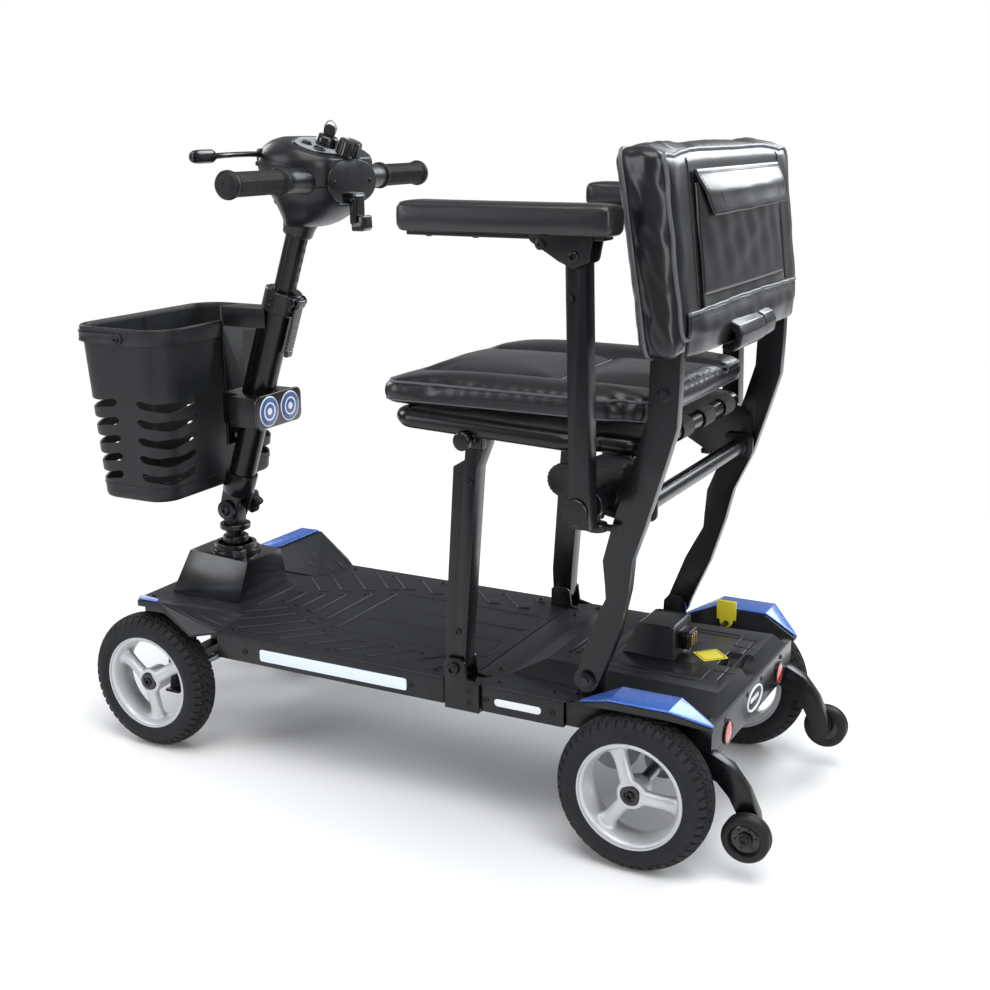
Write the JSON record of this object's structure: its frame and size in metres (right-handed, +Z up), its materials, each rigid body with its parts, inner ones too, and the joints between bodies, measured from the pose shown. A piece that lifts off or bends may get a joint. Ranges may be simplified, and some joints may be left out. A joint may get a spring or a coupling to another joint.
{
  "type": "mobility scooter",
  "caption": "Folding four-wheel mobility scooter: hinged deck, leaning tiller with a slotted basket, folding padded seat with flip-up armrests, rear anti-tip wheels.",
  "frame": {"origin": "middle of the footprint on the ground plane, on the scooter's centre plane", "axes": "+Z up, +Y towards the back of the scooter, +X towards its left side"},
  "size_m": [0.576, 1.0724, 0.8858],
  "materials": {
    "black_frame": "satin black powder coat with a blue-black sheen",
    "deck_plastic": "fine grained black moulding",
    "gloss_black": "smooth black moulding",
    "blue_trim": "satin blue moulding",
    "rim_silver": "light grey-silver paint",
    "tyre_rubber": "matt black solid tyre",
    "soft_rubber": "ribbed black rubber",
    "black_leatherette": "creased black leatherette with stitched seams",
    "steel": "zinc plated steel",
    "yellow_plastic": "yellow tag"
  },
  "bodies": {
    "rear_chassis": {"rear_deck_pan": "black_frame", "rear_deck_cover": "deck_plastic", "left_rear_fender_trim": "blue_trim", "right_rear_fender_trim": "blue_trim", "left_hinge_bracket": "black_frame", "right_hinge_bracket": "black_frame", "transaxle": "steel", "left_anti_tip_arm": "black_frame", "right_anti_tip_arm": "black_frame"},
    "left_rear_wheel": {"left_rear_tyre": "tyre_rubber", "left_rear_rim": "rim_silver"},
    "right_rear_wheel": {"right_rear_tyre": "tyre_rubber", "right_rear_rim": "rim_silver"},
    "left_anti_tip": {"left_anti_tip_wheel": "soft_rubber"},
    "right_anti_tip": {"right_anti_tip_wheel": "soft_rubber"},
    "battery": {"battery_pack": "deck_plastic"},
    "freewheel": {"freewheel_lever": "yellow_plastic"},
    "front_chassis": {"front_deck_pan": "black_frame", "front_deck_cover": "deck_plastic", "left_front_fender_trim": "blue_trim", "right_front_fender_trim": "blue_trim", "tiller_shroud": "deck_plastic"},
    "left_steer": {"left_knuckle": "black_frame"},
    "right_steer": {"right_knuckle": "black_frame"},
    "left_front_wheel": {"left_front_tyre": "tyre_rubber", "left_front_rim": "rim_silver"},
    "right_front_wheel": {"right_front_tyre": "tyre_rubber", "right_front_rim": "rim_silver"},
    "rod": {"tie_rod": "steel"},
    "stem": {"steering_stem": "black_frame"},
    "tiller": {"lower_tiller_tube": "black_frame", "basket_bracket": "black_frame", "basket": "deck_plastic"},
    "tilt_lock": {"tilt_knob": "deck_plastic"},
    "height_lever": {"height_clamp_lever": "deck_plastic"},
    "basket_bail": {"basket_handle": "deck_plastic"},
    "head": {"upper_tiller_tube": "black_frame", "head_lower_shell": "deck_plastic", "head_upper_shell": "deck_plastic", "handlebar": "black_frame", "left_grip": "soft_rubber", "right_grip": "soft_rubber"},
    "throttle": {"throttle_lever": "deck_plastic"},
    "key": {"ignition_key": "gloss_black"},
    "dial": {"speed_dial": "gloss_black"},
    "hook": {"bag_hook": "deck_plastic"},
    "left_leg": {"left_front_leg": "black_frame"},
    "right_leg": {"right_front_leg": "black_frame"},
    "seat_back": {"left_upright": "black_frame", "right_upright": "black_frame", "cross_tube": "black_frame", "backrest": "black_leatherette"},
    "seat": {"seat_frame": "black_frame", "seat_cushion": "black_leatherette"},
    "left_lock": {"left_fold_lock_knob": "deck_plastic"},
    "right_lock": {"right_fold_lock_knob": "deck_plastic"},
    "left_arm": {"left_armrest_post": "black_frame"},
    "right_arm": {"right_armrest_post": "black_frame"},
    "left_pad": {"left_armrest_pad": "black_leatherette"},
    "right_pad": {"right_armrest_pad": "black_leatherette"}
  },
  "joints": [
    {"name": "left_rear_wheel_spin", "type": "hinge", "parent": "rear_chassis", "child": "left_rear_wheel", "pos_m": [0.2026, 0.37125, 0.1], "axis": [1, 0, 0], "continuous": true},
    {"name": "right_rear_wheel_spin", "type": "hinge", "parent": "rear_chassis", "child": "right_rear_wheel", "pos_m": [-0.2026, 0.37125, 0.1], "axis": [1, 0, 0], "continuous": true},
    {"name": "left_anti_tip_spin", "type": "hinge", "parent": "rear_chassis", "child": "left_anti_tip", "pos_m": [0.182, 0.50625, 0.06], "axis": [1, 0, 0], "continuous": true},
    {"name": "right_anti_tip_spin", "type": "hinge", "parent": "rear_chassis", "child": "right_anti_tip", "pos_m": [-0.182, 0.50625, 0.06], "axis": [1, 0, 0], "continuous": true},
    {"name": "battery_lift", "type": "slide", "parent": "rear_chassis", "child": "battery", "axis": [0, 0, 1], "range_m": [0, 0.12]},
    {"name": "freewheel_turn", "type": "hinge", "parent": "rear_chassis", "child": "freewheel", "pos_m": [-0.1585, 0.36225, 0.197], "axis": [1, 0, 0], "range_deg": [0, 50]},
    {"name": "deck_fold", "type": "hinge", "parent": "rear_chassis", "child": "front_chassis", "pos_m": [0, 0.12425, 0.144], "axis": [1, 0, 0], "range_deg": [0, 95]},
    {"name": "steer", "type": "hinge", "parent": "front_chassis", "child": "stem", "pos_m": [0, -0.37375, 0.25], "axis": [0, 0, 1], "range_deg": [-40, 40]},
    {"name": "left_knuckle_turn", "type": "hinge", "parent": "front_chassis", "child": "left_steer", "pos_m": [0.138, -0.38875, 0.1], "axis": [0, 0, 1], "range_deg": [-31, 31]},
    {"name": "right_knuckle_turn", "type": "hinge", "parent": "front_chassis", "child": "right_steer", "pos_m": [-0.138, -0.38875, 0.1], "axis": [0, 0, 1], "range_deg": [-31, 31]},
    {"name": "tie_rod_slide", "type": "slide", "parent": "front_chassis", "child": "rod", "axis": [1, 0, 0], "range_m": [-0.026, 0.026]},
    {"name": "left_front_wheel_spin", "type": "hinge", "parent": "left_steer", "child": "left_front_wheel", "pos_m": [0.183, -0.38875, 0.1], "axis": [1, 0, 0], "continuous": true},
    {"name": "right_front_wheel_spin", "type": "hinge", "parent": "right_steer", "child": "right_front_wheel", "pos_m": [-0.183, -0.38875, 0.1], "axis": [1, 0, 0], "continuous": true},
    {"name": "tiller_tilt", "type": "hinge", "parent": "stem", "child": "tiller", "pos_m": [0, -0.37275, 0.316], "axis": [1, 0, 0], "range_deg": [-20, 12]},
    {"name": "tilt_knob_turn", "type": "hinge", "parent": "stem", "child": "tilt_lock", "pos_m": [-0.043, -0.37275, 0.316], "axis": [1, 0, 0], "continuous": true},
    {"name": "height_lever_open", "type": "hinge", "parent": "tiller", "child": "height_lever", "pos_m": [0, -0.24081, 0.63683], "axis": [1, 0, 0], "range_deg": [0, 55]},
    {"name": "tiller_height", "type": "slide", "parent": "tiller", "child": "head", "axis": [0, 0.3127, 0.9499], "range_m": [-0.03, 0.05]},
    {"name": "basket_handle_lift", "type": "hinge", "parent": "tiller", "child": "basket_bail", "pos_m": [0, -0.43975, 0.59], "axis": [-1, 0, 0], "range_deg": [0, 110]},
    {"name": "throttle_pull", "type": "hinge", "parent": "head", "child": "throttle", "pos_m": [0.062, -0.24475, 0.843], "axis": [0, 0, 1], "range_deg": [0, 14]},
    {"name": "key_turn", "type": "hinge", "parent": "head", "child": "key", "pos_m": [0, -0.18311, 0.85095], "axis": [0, 0.3419, 0.9397], "range_deg": [0, 90]},
    {"name": "speed_dial_turn", "type": "hinge", "parent": "head", "child": "dial", "pos_m": [0, -0.14835, 0.8383], "axis": [0, 0.3419, 0.9397], "range_deg": [-135, 135]},
    {"name": "hook_swing", "type": "hinge", "parent": "head", "child": "hook", "pos_m": [0, -0.13775, 0.79], "axis": [1, 0, 0], "range_deg": [0, 60]},
    {"name": "seat_fold", "type": "hinge", "parent": "rear_chassis", "child": "seat_back", "pos_m": [0, 0.28925, 0.216], "axis": [1, 0, 0], "range_deg": [0, 60]},
    {"name": "left_leg_fold", "type": "hinge", "parent": "rear_chassis", "child": "left_leg", "pos_m": [0.1625, 0.10925, 0.203], "axis": [1, 0, 0], "range_deg": [0, 55]},
    {"name": "right_leg_fold", "type": "hinge", "parent": "rear_chassis", "child": "right_leg", "pos_m": [-0.1625, 0.10925, 0.203], "axis": [1, 0, 0], "range_deg": [0, 55]},
    {"name": "seat_level", "type": "hinge", "parent": "seat_back", "child": "seat", "pos_m": [0, 0.32625, 0.5], "axis": [1, 0, 0], "range_deg": [-62, 0]},
    {"name": "left_lock_pull", "type": "slide", "parent": "seat_back", "child": "left_lock", "axis": [1, 0, 0], "range_m": [0, 0.008]},
    {"name": "right_lock_pull", "type": "slide", "parent": "seat_back", "child": "right_lock", "axis": [-1, 0, 0], "range_m": [0, 0.008]},
    {"name": "left_arm_width", "type": "slide", "parent": "seat_back", "child": "left_arm", "axis": [1, 0, 0], "range_m": [0, 0.03]},
    {"name": "right_arm_width", "type": "slide", "parent": "seat_back", "child": "right_arm", "axis": [-1, 0, 0], "range_m": [0, 0.03]},
    {"name": "left_pad_flip", "type": "hinge", "parent": "left_arm", "child": "left_pad", "pos_m": [0.265, 0.31825, 0.745], "axis": [-1, 0, 0], "range_deg": [0, 95]},
    {"name": "right_pad_flip", "type": "hinge", "parent": "right_arm", "child": "right_pad", "pos_m": [-0.265, 0.31825, 0.745], "axis": [-1, 0, 0], "range_deg": [0, 95]}
  ],
  "couplings": [
    {"joint": "left_knuckle_turn", "follows": "steer", "ratio": 0.75},
    {"joint": "right_knuckle_turn", "follows": "steer", "ratio": 0.75},
    {"joint": "tie_rod_slide", "follows": "steer", "m_per_rad": -0.0345},
    {"joint": "left_leg_fold", "follows": "seat_fold", "ratio": 0.911},
    {"joint": "right_leg_fold", "follows": "seat_fold", "ratio": 0.911},
    {"joint": "seat_level", "follows": "seat_fold", "ratio": -1.02}
  ]
}
